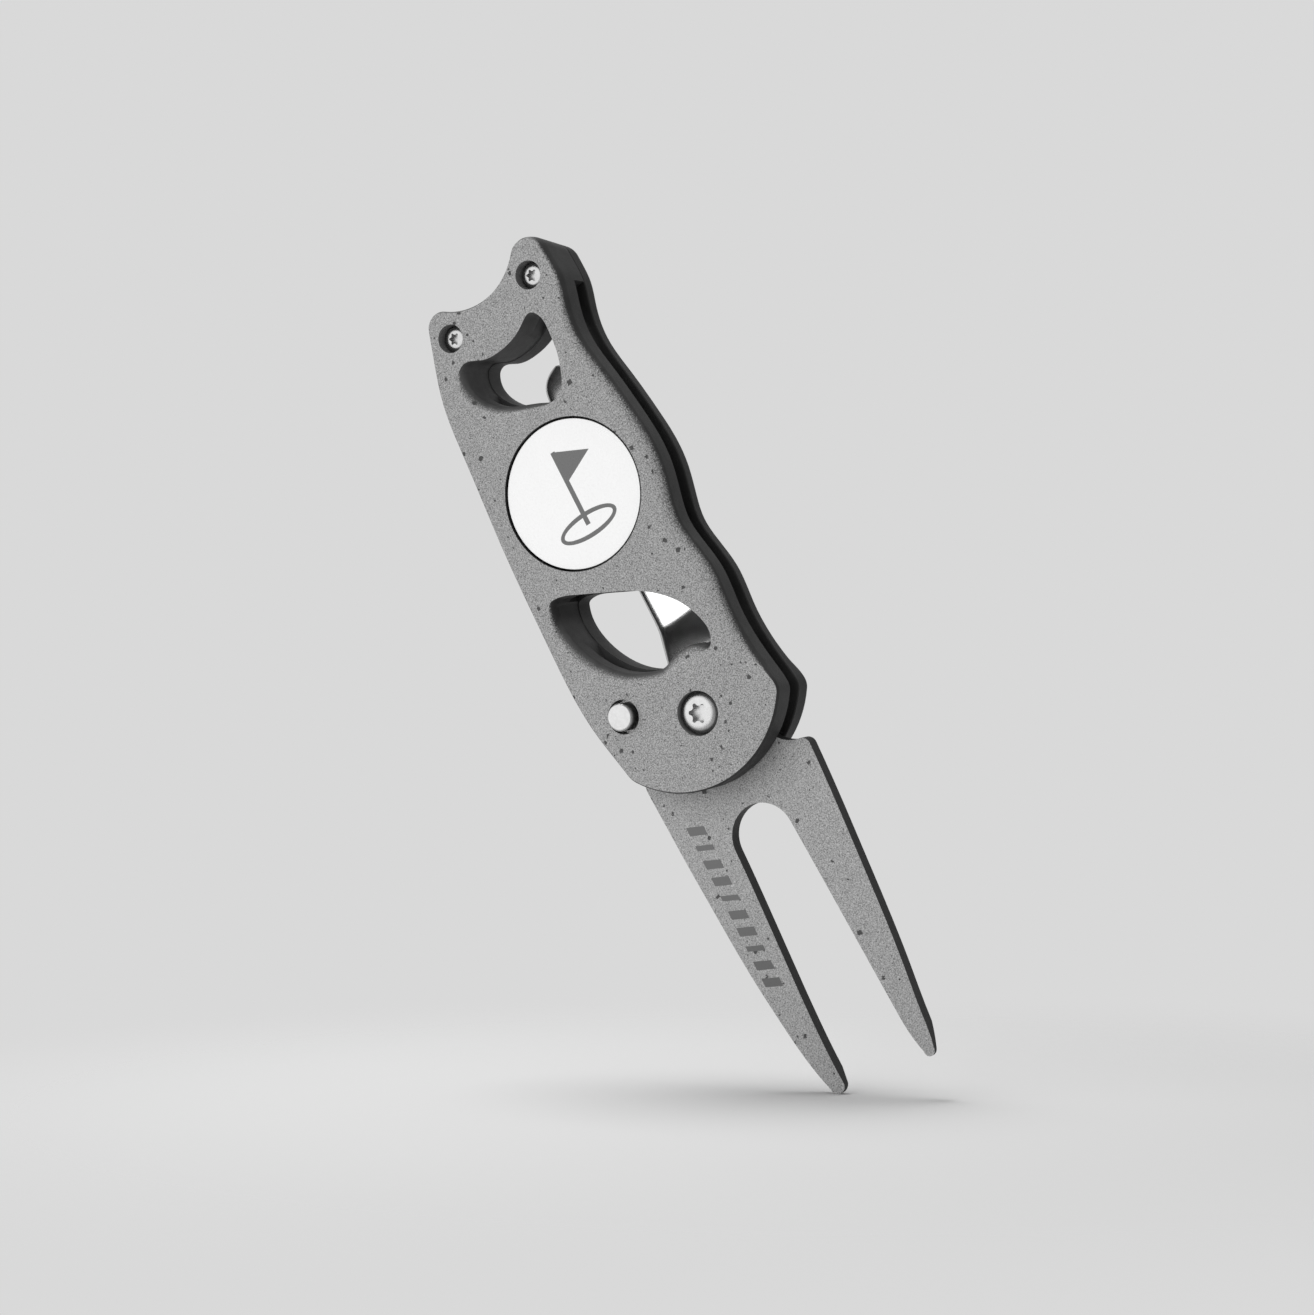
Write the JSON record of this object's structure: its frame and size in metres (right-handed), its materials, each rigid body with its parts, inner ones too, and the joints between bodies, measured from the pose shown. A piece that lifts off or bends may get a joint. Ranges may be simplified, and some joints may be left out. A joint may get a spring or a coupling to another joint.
{
  "type": "divot repair tool",
  "caption": "Folding two-prong divot repair tool with a wavy grip handle, push-button lock, magnetic ball marker and pocket clip.",
  "frame": {"origin": "middle of the open tool's box at its lowest point, the outer side of the pocket clip's bend, with the tool lying front face up", "axes": "+X along the tool towards the prong tips, +Y across it towards the wavy grip side where the fork swings out, +Z out of the front face"},
  "size_m": [0.1192, 0.0272, 0.0147],
  "materials": {
    "painted_grey": "fine-grained satin stone-grey paint with sparse dark flecks on aluminium",
    "painted_grey_rear": "the same fine-grained stone-grey paint",
    "painted_fork": "fine-grained stone-grey paint on steel plate",
    "steel": "ground steel",
    "screw_steel": "bright machined stainless steel",
    "bronze": "satin phosphor bronze",
    "spring_steel": "drawn spring wire",
    "button_steel": "bright turned steel",
    "marker_steel": "nickel-plated steel",
    "white_enamel": "smooth white enamel",
    "dark_enamel": "dark grey enamel",
    "magnet": "nickel-plated magnet",
    "clip_steel": "polished chromed spring steel"
  },
  "bodies": {
    "handle": {"front_cover": "painted_grey", "rear_cover": "painted_grey_rear", "pivot_barrel": "steel", "pivot_screw": "screw_steel", "pivot_screw_rear": "screw_steel", "washer_rear": "bronze", "torsion_spring": "spring_steel", "stop_pin": "steel", "button_spring": "spring_steel", "marker_magnet": "magnet", "head_screws": "screw_steel", "clip_base": "clip_steel", "clip_screws": "screw_steel"},
    "fork": {"fork": "painted_fork", "washer_front": "bronze"},
    "button": {"lock_button": "button_steel"},
    "marker": {"ball_marker": "marker_steel", "marker_face": "white_enamel", "marker_emblem": "dark_enamel"},
    "clip": {"clip_tongue": "clip_steel"}
  },
  "joints": [
    {"name": "fork_hinge", "type": "hinge", "parent": "handle", "child": "fork", "pos_m": [0.00717, 0.00184, 0.00812], "axis": [0, 0, 1], "range_deg": [0, 180], "stiffness_Nm_per_rad": 0.004, "springref_deg": -57.3, "deforming": ["torsion_spring"]},
    {"name": "button_press", "type": "slide", "parent": "handle", "child": "button", "axis": [0, 0, -1], "range_m": [0, 0.0013], "stiffness_N_per_m": 500, "springref_m": -0.002, "deforming": ["button_spring"]},
    {"name": "marker_lift", "type": "slide", "parent": "handle", "child": "marker", "axis": [0, 0, 1], "range_m": [0, 0.005], "stiffness_N_per_m": 60, "springref_m": -0.005},
    {"name": "clip_flex", "type": "hinge", "parent": "handle", "child": "clip", "pos_m": [-0.00113, 0.00059, 0.00277], "axis": [0, -1, 0], "range_deg": [0, 6], "stiffness_Nm_per_rad": 3, "springref_deg": -2.86}
  ]
}
